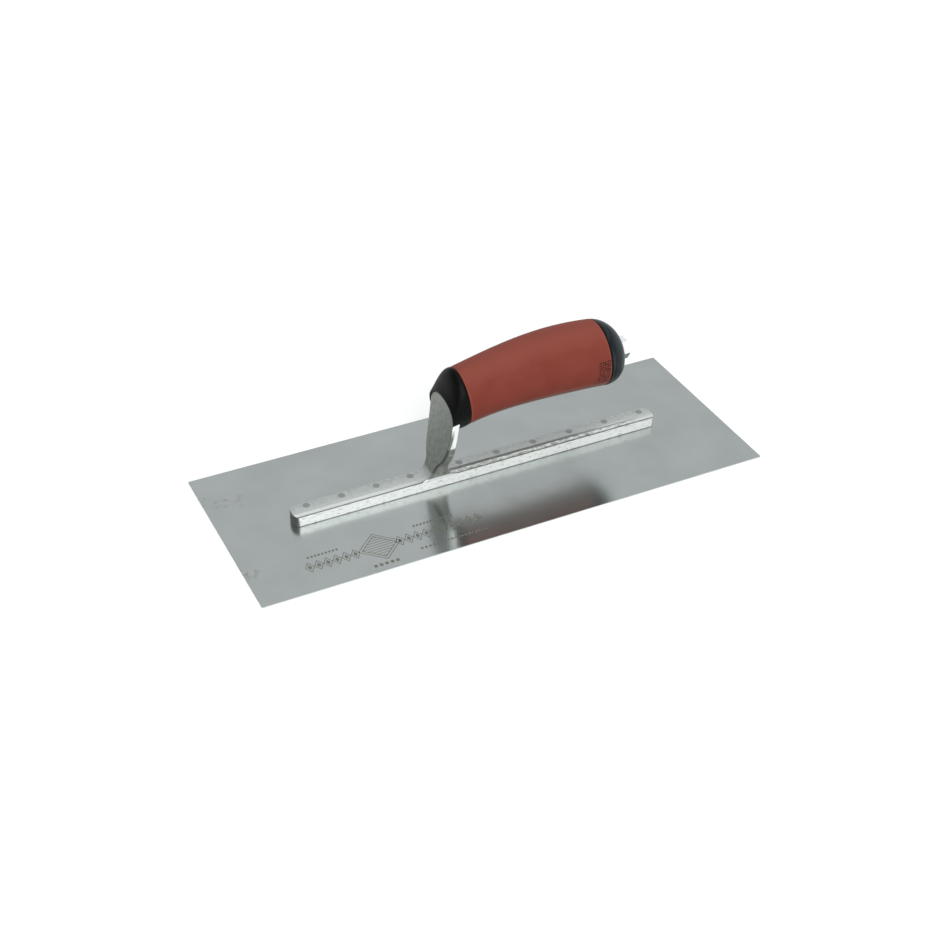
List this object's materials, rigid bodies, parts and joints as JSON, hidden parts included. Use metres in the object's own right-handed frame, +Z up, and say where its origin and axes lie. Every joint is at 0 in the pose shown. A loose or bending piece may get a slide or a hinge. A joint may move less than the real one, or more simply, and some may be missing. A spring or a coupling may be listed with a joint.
{
  "type": "finishing trowel",
  "caption": "Concrete finishing trowel: flat rectangular steel blade, riveted cast mounting with a rising shank, and a bowed soft-grip handle held by a tie rod.",
  "frame": {"origin": "middle of the blade's working face, which lies on Z = 0", "axes": "+X along the blade towards the free end of the handle, +Y across the blade, +Z up from the working face to the handle"},
  "size_m": [0.3302, 0.127, 0.0874],
  "materials": {
    "blade": "ground and lightly polished spring steel",
    "mounting": "as cast, lightly tumbled",
    "rivet": "peened flush and dulled",
    "hardware": "bright zinc plate",
    "hard_plastic": "moulded, fine matt texture",
    "grip": "soft matt elastomer"
  },
  "bodies": {
    "root": {"blade": "blade", "mounting": "mounting", "tie_rod": "hardware", "handle_core": "hard_plastic", "grip_sleeve": "grip", "front_collar": "hard_plastic", "rear_cap": "hard_plastic", "tail_washer": "hardware", "tail_nut": "hardware", "rivet_01": "rivet", "rivet_02": "rivet", "rivet_03": "rivet", "rivet_04": "rivet", "rivet_05": "rivet", "rivet_06": "rivet", "rivet_07": "rivet", "rivet_08": "rivet", "rivet_09": "rivet", "rivet_10": "rivet"}
  },
  "joints": []
}
